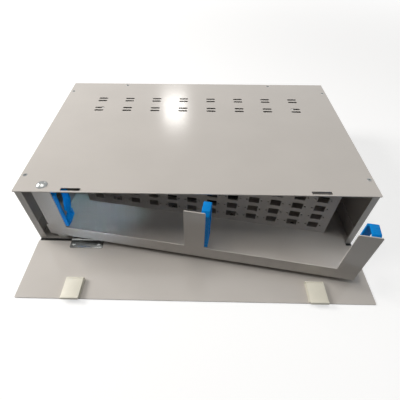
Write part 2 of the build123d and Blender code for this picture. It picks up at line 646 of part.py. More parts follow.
def door_leaf(sign):
    near = AXIS_Y - LEAF_GAP
    return hinge_leaf(sign, [knuckle_spans(sign)[1]], near, near - HINGE_LEAF)


def hinge_pin(sign):
    spans = knuckle_spans(sign)
    return cross_rod(spans[0][0], spans[2][1], AXIS_Y, AXIS_Z, PIN_R)


def leaf_screws(y):
    """Pan-head screws of both hinges at one row, flush with the underside of the sheet."""
    top = SHEET + HINGE_THICK
    screws = []
    for sign in (-1, 1):
        for x in leaf_screw_places(sign):
            head = rod(x, y, top, top + LEAF_SCREW_HEIGHT, LEAF_SCREW_R)
            head = fillet(head.edges().group_by(Axis.Z)[-1], LEAF_SCREW_HEIGHT / 2)
            screws.append(rod(x, y, 0, top, SCREW_SHANK_R) + head)
    return Compound(screws)


def latch_base(sign):
    """Lower leg of a latch on the door, with the curl that springs the upper leg."""
    leg_end = DOOR_EDGE + SHEET / 2
    leg = Pos((CURL_Y + leg_end) / 2, SHEET + LATCH_WALL / 2) * Rectangle(CURL_Y - leg_end, LATCH_WALL)
    curl = Pos(CURL_Y, CURL_Z) * (Circle(CURL_R) - Circle(CURL_R - LATCH_WALL))
    curl &= Pos(CURL_Y + CURL_R / 2, CURL_Z) * Rectangle(CURL_R, 2 * CURL_R)
    middle = sign * HINGE_X
    return side_profile(leg + curl, middle - LATCH_WIDTH / 2, middle + LATCH_WIDTH / 2)


def latch_tongue(sign):
    """Upper leg of a latch, which passes the door's edge and hooks through the cover's slot."""
    top = SHEET + LATCH_HEIGHT
    nub_end = LATCH_TIP + NUB_FROM_TIP
    outline = Polyline(
        (CURL_Y - LATCH_SPLIT, top - LATCH_WALL), (CURL_Y - LATCH_SPLIT, top),
        (nub_end + NUB_LENGTH, top), (nub_end + NUB_LENGTH, top + NUB_HEIGHT),
        (nub_end, top + NUB_HEIGHT), (LATCH_TIP, top - LATCH_WALL / 2),
        (LATCH_TIP, top - LATCH_WALL), close=True)
    middle = sign * HINGE_X
    return side_profile(make_face(outline), middle - LATCH_WIDTH / 2, middle + LATCH_WIDTH / 2)


def cable_grommet(sign):
    """Rubber grommet in the rear wall, with a lip on each side and a groove for the sheet."""
    inside = BACK - SHEET - GROMMET_GROOVE
    outside = BACK + GROMMET_GROOVE
    profile = Polyline(
        (GROMMET_BORE_R, inside), (GROMMET_R, inside), (GROMMET_R, BACK - SHEET),
        (GROMMET_R - GROMMET_LIP, BACK - SHEET), (GROMMET_R - GROMMET_LIP, BACK), (GROMMET_R, BACK),
        (GROMMET_R, outside), (GROMMET_BORE_R, outside), close=True)
    ring = revolve(make_face(profile), Axis.Y)
    return Pos(sign * ENTRY_X, 0, ENTRY_UP) * ring


def cable_clamp(sign):
    """Angle bracket on the base behind each cable entry, on which the cable is strapped."""
    x = sign * ENTRY_X
    back = PIVOT_Y + hypot(TRAY_DEPTH, TRAY_LEFT) + CLAMP_CLEAR + CLAMP_FOOT
    high = ENTRY_UP - GROMMET_BORE_R
    profile = Polyline(
        (back, SHEET), (back, high), (back - CLAMP_SHEET, high), (back - CLAMP_SHEET, SHEET + CLAMP_SHEET),
        (back - CLAMP_FOOT, SHEET + CLAMP_SHEET), (back - CLAMP_FOOT, SHEET), close=True)
    bracket = side_profile(make_face(profile), x - CLAMP_WIDTH / 2, x + CLAMP_WIDTH / 2)
    slot_y = back - CLAMP_SHEET / 2
    for side in (-1, 1):
        place = Pos(x + side * CLAMP_WIDTH / 4, slot_y, high - CLAMP_WIDTH / 4) * Rot(90, 0, 0)
        slot = SlotOverall(CLAMP_WIDTH / 3, CLAMP_SHEET, rotation=90)
        bracket -= place * extrude(slot, CLAMP_SHEET, both=True)
    return bracket


def earth_stud():
    """Stud through the rear wall for the earth lead, with a plain free end outside its nuts."""
    shoulder = 2 * (NUT_HEIGHT + SHEET) - SHEET
    inner = BACK - SHEET - NUT_HEIGHT
    stud = Pos(0, 0, inner + shoulder / 2) * Cylinder(EARTH_R + SHOULDER, shoulder)
    stud += Pos(0, 0, inner + shoulder + EARTH_LENGTH / 2) * Cylinder(EARTH_R, EARTH_LENGTH)
    return Pos(EARTH_X, 0, ENTRY_UP) * Rot(-90, 0, 0) * stud


def earth_nuts():
    bore_r = EARTH_R + SHOULDER + SEAT_GAP / 2
    nut = hexagon_nut(0, 0, 0, bore_r)
    outer = Pos(EARTH_X, BACK + NUT_HEIGHT, ENTRY_UP) * Rot(90, 0, 0) * nut
    inner = Pos(EARTH_X, BACK - SHEET, ENTRY_UP) * Rot(90, 0, 0) * nut
    return Compound([inner, outer])


SIDES = {"left": -1, "right": 1}
nodes = {
    "rear_wall": rear_wall(),
    "base_plate": base_plate(),
    "wall_rivets": wall_rivets(),
    "top_cover": top_cover(),
    "cover_screws": cover_screws(),
    "pivot_bolt": pivot_bolt(),
    "pivot_washer": pivot_washer(),
    "pivot_stud": pivot_stud(),
    "pivot_spacer": pivot_spacer(),
    "pivot_nuts": pivot_nuts(),
    "glide_pads": glide_pads(),
    "casing_leaf_screws": leaf_screws(casing_leaf_middle()),
    "earth_stud": earth_stud(),
    "earth_nuts": earth_nuts(),
    "tray_pan": tray_pan(),
    "adapter_panel": adapter_panel(),
    "panel_screws": panel_screws(),
    "splice_cover": splice_cover(),
    "splice_studs": splice_studs(),
    "splice_nuts": splice_nuts(),
    "door_panel": door_panel(),
    "door_leaf_screws": leaf_screws(door_leaf_middle()),
}
for side, sign in SIDES.items():
    nodes[f"side_wall_{side}"] = side_wall(sign)
    nodes[f"casing_hinge_leaf_{side}"] = casing_leaf(sign)
    nodes[f"door_hinge_leaf_{side}"] = door_leaf(sign)
    nodes[f"hinge_pin_{side}"] = hinge_pin(sign)
    nodes[f"latch_base_{side}"] = latch_base(sign)
    nodes[f"latch_tongue_{side}"] = latch_tongue(sign)
    nodes[f"cable_grommet_{side}"] = cable_grommet(sign)
    nodes[f"cable_clamp_{side}"] = cable_clamp(sign)
for place, tab, shift in zip(("left", "middle", "right"), tab_places(), RING_SHIFTS):
    nodes[f"cable_ring_{place}"] = cable_ring(tab, shift)
for level in range(SPLICE_COUNT):
    nodes[f"splice_tray_{level + 1}"] = splice_tray(level)

os.makedirs("parts", exist_ok=True)
for name, shape in nodes.items():
    export_step(shape, f"parts/{name}.step")
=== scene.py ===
import json
from math import cos, pi, radians, sin, sqrt

import bpy
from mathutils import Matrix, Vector


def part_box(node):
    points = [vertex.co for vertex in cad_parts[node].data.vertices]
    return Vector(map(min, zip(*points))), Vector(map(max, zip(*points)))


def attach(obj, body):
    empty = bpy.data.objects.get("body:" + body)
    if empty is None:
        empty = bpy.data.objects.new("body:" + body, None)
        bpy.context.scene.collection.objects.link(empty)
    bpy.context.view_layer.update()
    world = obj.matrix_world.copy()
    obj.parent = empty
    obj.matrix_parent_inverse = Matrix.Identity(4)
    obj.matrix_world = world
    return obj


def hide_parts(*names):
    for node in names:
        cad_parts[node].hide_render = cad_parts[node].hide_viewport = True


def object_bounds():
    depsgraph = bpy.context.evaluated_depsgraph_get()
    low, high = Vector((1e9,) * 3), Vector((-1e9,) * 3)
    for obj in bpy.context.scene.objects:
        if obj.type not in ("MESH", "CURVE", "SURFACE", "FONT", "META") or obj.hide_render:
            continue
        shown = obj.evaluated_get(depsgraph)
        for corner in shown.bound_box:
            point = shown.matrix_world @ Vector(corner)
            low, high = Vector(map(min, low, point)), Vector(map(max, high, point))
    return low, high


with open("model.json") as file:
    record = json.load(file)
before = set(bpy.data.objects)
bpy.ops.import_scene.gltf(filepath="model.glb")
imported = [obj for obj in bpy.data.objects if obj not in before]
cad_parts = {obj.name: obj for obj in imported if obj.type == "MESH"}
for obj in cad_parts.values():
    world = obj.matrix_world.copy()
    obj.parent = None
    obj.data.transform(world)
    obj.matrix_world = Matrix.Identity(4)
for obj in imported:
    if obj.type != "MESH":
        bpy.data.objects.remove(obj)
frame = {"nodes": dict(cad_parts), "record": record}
cad_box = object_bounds()
nodes = frame["nodes"]
bodies = frame["record"]["behaviour"]["bodies"]
carried_by = {node: body for body, members in bodies.items() for node in members}
slots = {part["node"]: part["material_slot"] for part in frame["record"]["subparts"]}

# Fibre patch panel: painted sheet-steel casing with a swing-out tray, blue cable rings, a drop-down
# door with cream latches and plated hinges. The frame is that of the solids: +Z up, front at -Y.
# Sizes are in millimetres unless a comment says otherwise, and become metres as a piece is made.
MM = 0.001

# Camera of the photograph, in metres and degrees
CAMERA_PLACE = (0.0010, -0.3904, 0.3244)
CAMERA_TURN = (40.595, 0.069, 1.327)
CAMERA_NEAR = 0.01
LENS_MM = 27.46
SENSOR_MM = 36.0
SHIFT = (0.0230, 0.0703)

# Light, in metres: strength of the surroundings for light that spreads, and lamps as place, aim, width
# and height, power, the angle in degrees over which the light fans out, and colour
SURROUNDINGS = 0.04
LAMPS = {
    "ceiling_lamp": ((-0.25, 0.0, 2.0), (0, -0.05, 0.05), (1.2, 1.2), 15, 180, (1, 0.97, 0.925)),
    "left_window": ((-1.25, 0.25, 0.80), (0, -0.10, 0.05), (0.6, 0.6), 18, 180, (1, 0.98, 0.95)),
    "right_window": ((1.35, -0.55, 0.60), (-0.05, -0.10, 0.03), (0.5, 0.5), 3, 180, (0.85, 0.94, 1)),
    "gridded_lamp": ((0.40, -1.05, 1.00), (-0.150, -0.080, 0.009), (0.08, 0.08), 0.018, 3.4, (0.65, 0.82, 1)),
    "back_lamp": ((-0.155, 1.6, 0.925), (-0.034, 0.054, 0.088), (0.15, 0.15), 1.0, 180, (1, 0.98, 0.95)),
}
# Pieces that the gridded lamp lights
LIT_BY_GRID = ("tray_pan", "cable_ring_left_moulded")

# Floor, in metres: its size and drop below the part, its colours where it is seen, for the light that it
# spreads and as a painted shadow under the casing, its glow near the part and far off, and the distances over
# which that rises
FLOOR_SIZE = 6.0
FLOOR_BELOW = 0.0002
FLOOR_COLOUR = (0.5, 0.5, 0.5, 1)
FLOOR_BOUNCE = (0.3, 0.3, 0.3, 1)
FLOOR_PAINTED_SHADOW = (0.05, 0.05, 0.05, 1)
FLOOR_ROUGHNESS = 0.9
FLOOR_GLOW = (0.62, 0.97)
GLOW_OVER = (0.3, 1.8)

# Finishes: colours are linear, a noise is its scale, detail and roughness, a roughness is its least value
# and how much is added at most, and depths are in metres
CLOUD_RANGE = (0.3, 0.7)
PAINT_COLOUR = (0.60, 0.565, 0.53, 1)
PAINT_CLOUDING = (0.98, 1.02)
PAINT_CLOUD_NOISE = (14, 4)
PAINT_FINE_PEEL = (1100, 2)
PAINT_COARSE_PEEL = (420, 2)
PAINT_PEEL_DEPTH = 0.00001
PAINT_PEEL_STRENGTH = 0.5
PAINT_ROUGHNESS = (0.15, 0.04)
PAINT_ROUGHNESS_NOISE = (60, 3)
ZINC_COLOUR = (0.34, 0.35, 0.345, 1)
ZINC_DULL = 0.9
ZINC_SMEAR_NOISE = (240, 5, 0.6)
ZINC_SMEAR_RANGE = (0.35, 0.7)
ZINC_ROUGHNESS = (0.2, 0.06)
PLASTIC_CLOUDING = (0.97, 1.03)
PLASTIC_CLOUD_NOISE = (55, 3)
PLASTIC_ROUGHNESS_ADDED = 0.08
PLASTIC_ROUGHNESS_NOISE = (150, 3)
PLASTIC_GRAIN_STRENGTH = 0.4
# Plastics as colour, least roughness, scale and depth of the grain, and shine
PLASTICS = {
    "white_nylon": ((0.78, 0.78, 0.74, 1), 0.4, 700, 0.00001, 0.5),
    "blue_plastic": ((0.002, 0.26, 0.74, 1), 0.24, 500, 0.000005, 0.1),
    "cream_plastic": ((0.83, 0.80, 0.69, 1), 0.38, 500, 0.000008, 0.5),
    "black_plastic": ((0.018, 0.018, 0.02, 1), 0.45, 900, 0.00002, 0.5),
    "black_rubber": ((0.012, 0.012, 0.013, 1), 0.7, 1200, 0.00003, 0.5),
}

# Painted shade on the walls of the cover's slots, a darker paint that stands for the shade in them: its share
# of the paint colour, how far inside the cover's edge it begins, the softness of that border, and the borders
# below the cover's top and above its underside
SLOT_PAINTED_SHADE = 0.12
SLOT_INSET = 2.0
SLOT_BORDER = 0.5
SLOT_FROM_TOP = (0.1, 0.3)
SLOT_FROM_UNDERSIDE = (0.1, 0.02)

# Rounded edges: widths by finish or by piece, segments, angles in degrees above which an edge is sharp and
# below which curves are smooth and neighbouring faces flat, and the distance within which points merge
EDGES = {
    "painted_steel": 0.25, "zinc_steel": 0.12, "white_nylon": 0.3, "black_plastic": 0.3, "top_cover": 0.1,
}
EDGE_SEGMENTS = 2
RING_ROUND = 0.7
LATCH_ROUND = 0.5
MOULDED_SEGMENTS = 3
SHARP = 40
MOULDED_SHARP = 50
SMOOTH = 35
FLAT = 0.5
MERGE = 0.001

# Sizes and places of the solids that the modelled pieces stand for
HEIGHT = 88.0
SHEET = 1.2
BACK = 137.0
PIVOT = (-179.0, -125.3)
SWING = radians(9.62)
TRAY_UNDER = 7.4
PANEL_FOOT_TOP = 9.8
SPLICE_TOP = 50.0
SPLICE_STUDS = [(102.27, 142.0), (194.27, 142.0)]
ENTRY = (165.0, 44.0)
EARTH = (110.0, 44.0)
DOOR_BACK = -139.5

# Sides of turned pieces, and steps of a rounded rim
LARGE_SIDES = 64
NUT_SIDES = 48
SMALL_SIDES = 32
PIN_SIDES = 24
RIM_STEPS = 4

# Screws: an outline is pairs of radius and height, a head its radius, height and rounding, a recess its
# radius and depth, and a turn the angle in degrees from one screw to the next
COVER_SCREWS = [(-205, -108), (-205, 107), (205, -108), (205, 107), (-119, 130.8), (119, 130.8)]
COVER_SCREW = [(1.1, -5), (1.5, -4.6), (1.5, -1.3), (2.74, -0.06), (2.66, 0)]
COVER_RECESS = (1.5, 0.9)
COVER_TURN = 12
PAN_SHANK_R = 1.5
PAN_EDGE = 0.1
LEAF_SCREW_SPREAD = 33.0
LEAF_HEAD = (2.7, 1.5, 1.1)
LEAF_RECESS = (1.3, 0.8)
LEAF_TURN = 23
PANEL_SCREWS = [(54.75 + 83.5 * k, 67.2) for k in range(4)]
PANEL_HEAD = (2.8, SHEET, 0.8)
PANEL_RECESS = (1.4, 0.7)
PANEL_TURN = 31
RECESS_ARM = 0.32
RECESS_TAPER = 0.6

# Pivot bolt, with the radii of its dome as shares of the head's
BOLT_FOOT = 79.7
BOLT_SHANK_R = 3.0
BOLT_CHAMFER = 0.4
BOLT_HEAD_R = 6.9
BOLT_HEAD_HEIGHT = 3.0
BOLT_HEAD_UNDER = 0.97
BOLT_DOME = (0.985, 0.95, 0.88, 0.78, 0.65, 0.5, 0.34, 0.17, 0.04)

# Nuts, with their places along the stud and their turns in degrees
NUT_CORNER_R = 5.774
NUT_HEIGHT = 4.0
NUT_CHAMFER = [(4.8, -0.01), (5.9, 0.6), (5.9, 3.4), (4.8, 4.01)]
NUT_TURN = 30
BORE_PAST = 1.0
PIVOT_NUT_BORE_R = 3.05
PIVOT_NUTS = ((80.9, 0), (8.7, 17))
EARTH_NUT_BORE_R = 3.45
EARTH_START = BACK - SHEET - NUT_HEIGHT
EARTH_NUTS = ((EARTH_START, 0), (BACK, 11))
THUMB_NUT = [(2.05, 0), (4.6, 0), (5.0, 0.4), (5.0, 3.6), (4.6, 4.0), (2.05, 4.0)]
THUMB_RIM = 4.5
THUMB_RIBS = 24
RIB_INSET = 0.06
RIB_DEPTH = 0.25

# Earth stud, with one turn of its thread and its end measured from the shoulder
STUD_SHOULDER = 9.2
STUD_FOOT = [(3.1, 0), (3.4, 0.3), (3.4, 9.0), (3.2, STUD_SHOULDER)]
THREAD_TURN = [(2.7, 0.3), (3.0, 0.65), (3.0, 0.8), (2.7, 1.15)]
THREAD_TURNS = 7
STUD_END = [(2.7, 7.6), (2.3, 8)]

# Cable grommets
GROMMET_R = 16.0
GROMMET_NECK_R = 13.5
GROMMET_BORE_R = 10.0
GROMMET_LIP = 2.5
GROMMET_ROUND = 0.9
GROMMET_SEGMENTS = 4

# Hinges, with the places of the leaves along Y from near the knuckles outwards
HINGE_X = 143.5
HINGE_WIDTH = 43.5
HINGE_TOP = 2.2
HINGE_AXIS = (-137.4, 1.9)
CASING_LEAF = (-135.0, -123.2)
DOOR_LEAF = (-139.6, -151.4)
LEAF_CORNER = 1.5
LEAF_CORNER_SEGMENTS = 4
LEAF_OVERLAP = 0.01
KNUCKLE_R = 1.8
KNUCKLE_CHAMFER = 0.15
KNUCKLE_PLAY = 0.1
PIN_R = 0.9
PIN_CLEARANCE = 0.05
PIN_END = [(0.5, 0), (0.8, 0.1), (PIN_R, 0.35)]


class Value:
    """A socket of a material's nodes that takes part in sums."""

    def __init__(self, finish, socket):
        self.finish = finish
        self.socket = socket

    def __add__(self, other):
        return self.finish.maths("ADD", self, other)

    def __sub__(self, other):
        return self.finish.maths("SUBTRACT", self, other)

    def __rsub__(self, other):
        return self.finish.maths("SUBTRACT", other, self)

    def __mul__(self, other):
        return self.finish.maths("MULTIPLY", self, other)

    __radd__ = __add__
    __rmul__ = __mul__


class Finish:
    """A material or the surroundings under construction: nodes are added here and feed its shader."""

    def __init__(self, owner, shader="Principled BSDF"):
        owner.use_nodes = True
        self.owner = owner
        self.tree = owner.node_tree
        self.shader = self.tree.nodes[shader]

    def feed(self, socket, value):
        if isinstance(value, Value):
            self.tree.links.new(value.socket, socket)
        else:
            socket.default_value = value

    def node(self, kind, settings=None, inputs=None, output=0):
        made = self.tree.nodes.new(kind)
        for name, value in (settings or {}).items():
            setattr(made, name, value)
        for name, value in (inputs or {}).items():
            self.feed(made.inputs[name], value)
        return Value(self, made.outputs[output])

    def maths(self, operation, one, two=0.0):
        return self.node("ShaderNodeMath", {"operation": operation}, {0: one, 1: two})

    def place(self):
        return self.node("ShaderNodeTexCoord", output="Object")

    def along(self, axis):
        return self.node("ShaderNodeSeparateXYZ", {}, {0: self.place()}, output=axis)

    def noise(self, scale, detail=3.0, roughness=0.5):
        return self.node("ShaderNodeTexNoise", {}, {"Vector": self.place(), "Scale": scale,
                                                    "Detail": detail, "Roughness": roughness})

    def ramp(self, value, low, high):
        """0 below low, 1 above high."""
        return self.node("ShaderNodeMapRange", {"interpolation_type": "SMOOTHSTEP"},
                         {"Value": value, "From Min": low, "From Max": high})

    def mix(self, factor, one, two):
        return self.node("ShaderNodeMix", {"data_type": "RGBA"}, {0: factor, 6: one, 7: two}, output=2)

    def bump(self, height, distance, strength):
        return self.node("ShaderNodeBump", {}, {"Height": height, "Distance": distance, "Strength": strength})

    def seen(self):
        """1 for rays from the camera and for mirror and glass rays, 0 for the light that spreads."""
        rays = [self.node("ShaderNodeLightPath", output=f"Is {kind} Ray")
                for kind in ("Camera", "Glossy", "Transmission")]
        return self.maths("MAXIMUM", self.maths("MAXIMUM", rays[0], rays[1]), rays[2])

    def distance_from(self, low, high):
        """Distance in plan from a box between two corners, 0 inside it."""
        outside = []
        for axis in range(2):
            middle = (low[axis] + high[axis]) / 2
            away = self.maths("ABSOLUTE", self.along(axis) - middle) - (high[axis] - low[axis]) / 2
            outside.append(self.maths("MAXIMUM", away, 0.0))
        return self.maths("SQRT", outside[0] * outside[0] + outside[1] * outside[1])

    def set(self, **inputs):
        """Feeds sockets of the shader, named in small letters, and returns the material."""
        for name, value in inputs.items():
            words = name.replace("_", " ").title().replace("Ior", "IOR")
            self.feed(self.shader.inputs[words], value)
        return self.owner


def new_finish(name):
    return Finish(bpy.data.materials.new(name))


def shade(colour, factor):
    return tuple(c * factor for c in colour[:3]) + (1,)


def clouded(finish, colour, noise, clouding):
    """A colour that drifts between two shades of itself."""
    clouds = finish.ramp(finish.noise(*noise), *CLOUD_RANGE)
    darker, paler = clouding
    return finish.mix(clouds, shade(colour, darker), shade(colour, paler))


def painted_slot_shade(finish):
    """Mask of painted shade: 1 on the walls of the cover's slots, where shade falls, 0 on its faces and its
    outer edge.
    """
    # Painted shade: this mask darkens the paint where the slots would lie in shade
    low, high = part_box("top_cover")
    inset = Vector((SLOT_INSET * MM, SLOT_INSET * MM, 0))
    outside = finish.distance_from(Vector(low) + inset, Vector(high) - inset)
    depth = high[2] - finish.along(2)
    below_top = finish.ramp(depth, *[border * MM for border in SLOT_FROM_TOP])
    near_underside = finish.ramp(depth, *[(SHEET - border) * MM for border in SLOT_FROM_UNDERSIDE])
    return below_top * (1 - near_underside) * (1 - finish.ramp(outside, 0, SLOT_BORDER * MM))


def painted_steel():
    """Satin powder coat with a fine orange peel and the faintest clouding, with painted shade inside the
    slots.
    """
    finish = new_finish("painted_steel")
    coat = clouded(finish, PAINT_COLOUR, PAINT_CLOUD_NOISE, PAINT_CLOUDING)
    # Painted shade: the paint on the slot walls is darkened to stand for the shade in them
    colour = finish.mix(painted_slot_shade(finish), coat, shade(PAINT_COLOUR, SLOT_PAINTED_SHADE))
    least, added = PAINT_ROUGHNESS
    roughness = least + added * finish.noise(*PAINT_ROUGHNESS_NOISE)
    height = finish.noise(*PAINT_FINE_PEEL) + finish.noise(*PAINT_COARSE_PEEL)
    peel = finish.bump(height, PAINT_PEEL_DEPTH, PAINT_PEEL_STRENGTH)
    return finish.set(base_color=colour, roughness=roughness, normal=peel)


def zinc_steel():
    """Bright plated steel with faint smears."""
    finish = new_finish("zinc_steel")
    smears = finish.ramp(finish.noise(*ZINC_SMEAR_NOISE), *ZINC_SMEAR_RANGE)
    colour = finish.mix(smears, shade(ZINC_COLOUR, ZINC_DULL), ZINC_COLOUR)
    least, added = ZINC_ROUGHNESS
    return finish.set(base_color=colour, roughness=least + added * smears, metallic=1.0)


def plastic(name, colour, roughness, grain_scale, grain_depth, shine):
    """Moulded plastic with the slightest clouding and a fine surface grain."""
    finish = new_finish(name)
    tint = clouded(finish, colour, PLASTIC_CLOUD_NOISE, PLASTIC_CLOUDING)
    rough = roughness + PLASTIC_ROUGHNESS_ADDED * finish.noise(*PLASTIC_ROUGHNESS_NOISE)
    grain = finish.bump(finish.noise(grain_scale), grain_depth, PLASTIC_GRAIN_STRENGTH)
    return finish.set(base_color=tint, roughness=rough, specular_ior_level=shine, normal=grain)


finishes = {"painted_steel": painted_steel(), "zinc_steel": zinc_steel()}
for name, settings in PLASTICS.items():
    finishes[name] = plastic(name, *settings)


def take_up(*pieces):
    """Selects these pieces alone; the first becomes the active one."""
    bpy.ops.object.select_all(action="DESELECT")
    for piece in pieces:
        piece.select_set(True)
    bpy.context.view_layer.objects.active = pieces[0]


def start_picking(piece, kind):
    """Clears what is selected in a piece, so that faces or edges can be selected in its data."""
    take_up(piece)
    bpy.ops.object.mode_set(mode="EDIT")
    bpy.ops.mesh.select_mode(type=kind)
    bpy.ops.mesh.select_all(action="DESELECT")
    bpy.ops.object.mode_set(mode="OBJECT")


def pick_faces(piece, test):
    """Opens a piece for editing with those faces selected whose middle and normal pass a test."""
    start_picking(piece, "FACE")
    for face in piece.data.polygons:
        face.select = test(face.center / MM, face.normal)
    bpy.ops.object.mode_set(mode="EDIT")


def pick_edges(piece, test):
    """Opens a piece for editing with those edges selected whose middle and run pass a test."""
    start_picking(piece, "EDGE")
    points = piece.data.vertices
    for edge in piece.data.edges:
        one, two = (points[k].co for k in edge.vertices)
        edge.select = test((one + two) / 2 / MM, (two - one).normalized())
    bpy.ops.object.mode_set(mode="EDIT")


def close_up(piece):
    """Merges what meets, turns the faces outwards and leaves edit mode."""
    bpy.ops.mesh.select_all(action="SELECT")
    bpy.ops.mesh.remove_doubles(threshold=MERGE * MM)
    bpy.ops.mesh.normals_make_consistent(inside=False)
    bpy.ops.object.mode_set(mode="OBJECT")
    return piece


def apply_modifier(piece, kind, **settings):
    take_up(piece)
    modifier = piece.modifiers.new(kind.lower(), kind)
    for name, value in settings.items():
        setattr(modifier, name, value)
    bpy.ops.object.modifier_apply(modifier=modifier.name)
    return piece


def round_edges(piece, width, segments, angle=SHARP):
    return apply_modifier(piece, "BEVEL", width=width * MM, segments=segments, limit_method="ANGLE",
                          angle_limit=radians(angle))


def combine(piece, tool, operation):
    """Cuts, joins or meets a piece with a tool that is then thrown away."""
    apply_modifier(piece, "BOOLEAN", operation=operation, object=tool, solver="EXACT")
    bpy.data.objects.remove(tool)
    return piece


def slab(low, high):
    """A plain block between two corners, as a start for shaping."""
    size = [(b - a) * MM for a, b in zip(low, high)]
    middle = [(a + b) / 2 * MM for a, b in zip(low, high)]
    bpy.ops.object.select_all(action="DESELECT")
    bpy.ops.mesh.primitive_cube_add(size=1, location=middle, scale=size)
    bpy.ops.object.transform_apply(location=True, rotation=True, scale=True)
    return bpy.context.object


def turned(outline, sides, ring=False):
    """Turns a piece about the upright from pairs of radius and height; a ring's outline closes on itself."""
    bpy.ops.object.select_all(action="DESELECT")
    radius, low = outline[0]
    bpy.ops.mesh.primitive_circle_add(vertices=sides, radius=radius * MM, location=(0, 0, low * MM),
                                      fill_type="NOTHING" if ring else "NGON")
    piece = bpy.context.object
    bpy.ops.object.transform_apply(location=True)
    bpy.ops.object.mode_set(mode="EDIT")
    bpy.ops.mesh.select_mode(type="EDGE")
    bpy.ops.mesh.select_all(action="SELECT")
    path = outline + outline[:1] if ring else outline
    for (r_one, z_one), (r_two, z_two) in zip(path, path[1:]):
        bpy.ops.mesh.extrude_region_move(TRANSFORM_OT_translate={"value": (0, 0, (z_two - z_one) * MM)})
        wider = r_two / r_one
        bpy.ops.transform.resize(value=(wider, wider, 1), center_override=(0, 0, z_two * MM))
    return close_up(piece)


def copies(piece, places):
    """Copies a piece to places, each with its turns about X, Y and Z in degrees, and joins the copies."""
    made = []
    for place, turns in places:
        take_up(piece)
        bpy.ops.object.duplicate(linked=False)
        copy = bpy.context.object
        copy.location = [p * MM for p in place]
        copy.rotation_euler = [radians(turn) for turn in turns]
        bpy.ops.object.transform_apply(location=True, rotation=True, scale=True)
        made.append(copy)
    bpy.data.objects.remove(piece)
    take_up(*made)
    if len(made) > 1:
        bpy.ops.object.join()
    return made[0]


def fit(piece, name, *stands_for):
    """Finishes a piece: smooth curves, its finish, and the nodes that it stands for."""
    piece.name = name
    take_up(piece)
    bpy.ops.object.shade_smooth_by_angle(angle=radians(SMOOTH))
    slot = slots[stands_for[0]]
    piece.data.materials.clear()
    piece.data.materials.append(finishes[slot])
    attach(piece, carried_by[stands_for[0]])
    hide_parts(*stands_for)


def on_tray(u, v):
    """Place on the resting tray from distances along and across it."""
    return PIVOT[0] + u * cos(SWING) + v * sin(SWING), PIVOT[1] - u * sin(SWING) + v * cos(SWING)


def rounded_rim(radius, height, corner):
    """Outline of a rounded upper rim, from the side to the top."""
    turns = [pi / 2 * k / RIM_STEPS for k in range(RIM_STEPS + 1)]
    return [(radius - corner + corner * cos(t), height - corner + corner * sin(t)) for t in turns]


def cross_screw(outline, recess_r, recess_depth):
    """A screw turned from its outline, with a cross recess in its head."""
    screw = turned(outline, SMALL_SIDES)
    top = outline[-1][1]
    bottom = top - recess_depth
    width = RECESS_ARM * recess_r
    for along, across in ((recess_r, width), (width, recess_r)):
        bar = slab((-along, -across, bottom), (along, across, top + recess_depth))
        pick_faces(bar, lambda middle, normal: normal.z < -0.5)
        bpy.ops.transform.resize(value=(RECESS_TAPER, RECESS_TAPER, 1), center_override=(0, 0, bottom * MM))
        close_up(bar)
        combine(screw, bar, "DIFFERENCE")
    return screw


def pan_screw(foot, seat, head, recess):
    """A screw whose rounded head lies on a seat."""
    radius, height, corner = head
    outline = [(PAN_SHANK_R, foot), (PAN_SHANK_R, seat), (radius - PAN_EDGE, seat), (radius, seat + PAN_EDGE)]
    return cross_screw(outline + rounded_rim(radius, seat + height, corner), *recess)


def add_screws():
    flush = cross_screw(COVER_SCREW, *COVER_RECESS)
    places = [((x, y, HEIGHT), (0, 0, COVER_TURN * k)) for k, (x, y) in enumerate(COVER_SCREWS)]
    fit(copies(flush, places), "cover_screw_set", "cover_screws")
    spread = [sign * HINGE_X + half * LEAF_SCREW_SPREAD / 2 for sign in (-1, 1) for half in (-1, 1)]
    for row, name, node in ((CASING_LEAF, "casing_leaf_screw_set", "casing_leaf_screws"),
                            (DOOR_LEAF, "door_leaf_screw_set", "door_leaf_screws")):
        pan = pan_screw(0, HINGE_TOP, LEAF_HEAD, LEAF_RECESS)
        places = [((x, sum(row) / 2, 0), (0, 0, LEAF_TURN * k)) for k, x in enumerate(spread)]
        fit(copies(pan, places), name, node)
    pan = pan_screw(TRAY_UNDER, PANEL_FOOT_TOP, PANEL_HEAD, PANEL_RECESS)
    places = [((*on_tray(*place), 0), (0, 0, PANEL_TURN * k)) for k, place in enumerate(PANEL_SCREWS)]
    fit(copies(pan, places), "panel_screw_set", "panel_screws")


def add_bolt():
    """Domed head of the upper pivot, with its shank below the cover."""
    dome_r = (BOLT_HEAD_R ** 2 + BOLT_HEAD_HEIGHT ** 2) / (2 * BOLT_HEAD_HEIGHT)
    centre = HEIGHT + BOLT_HEAD_HEIGHT - dome_r
    outline = [(BOLT_SHANK_R - BOLT_CHAMFER, BOLT_FOOT), (BOLT_SHANK_R, BOLT_FOOT + BOLT_CHAMFER),
               (BOLT_SHANK_R, HEIGHT), (BOLT_HEAD_R * BOLT_HEAD_UNDER, HEIGHT)]
    radii = [BOLT_HEAD_R * share for share in BOLT_DOME]
    outline += [(r, centre + sqrt(dome_r ** 2 - r ** 2)) for r in radii]
    bolt = turned(outline, LARGE_SIDES)
    fit(copies(bolt, [((*PIVOT, 0), (0, 0, 0))]), "pivot_bolt_dome", "pivot_bolt")


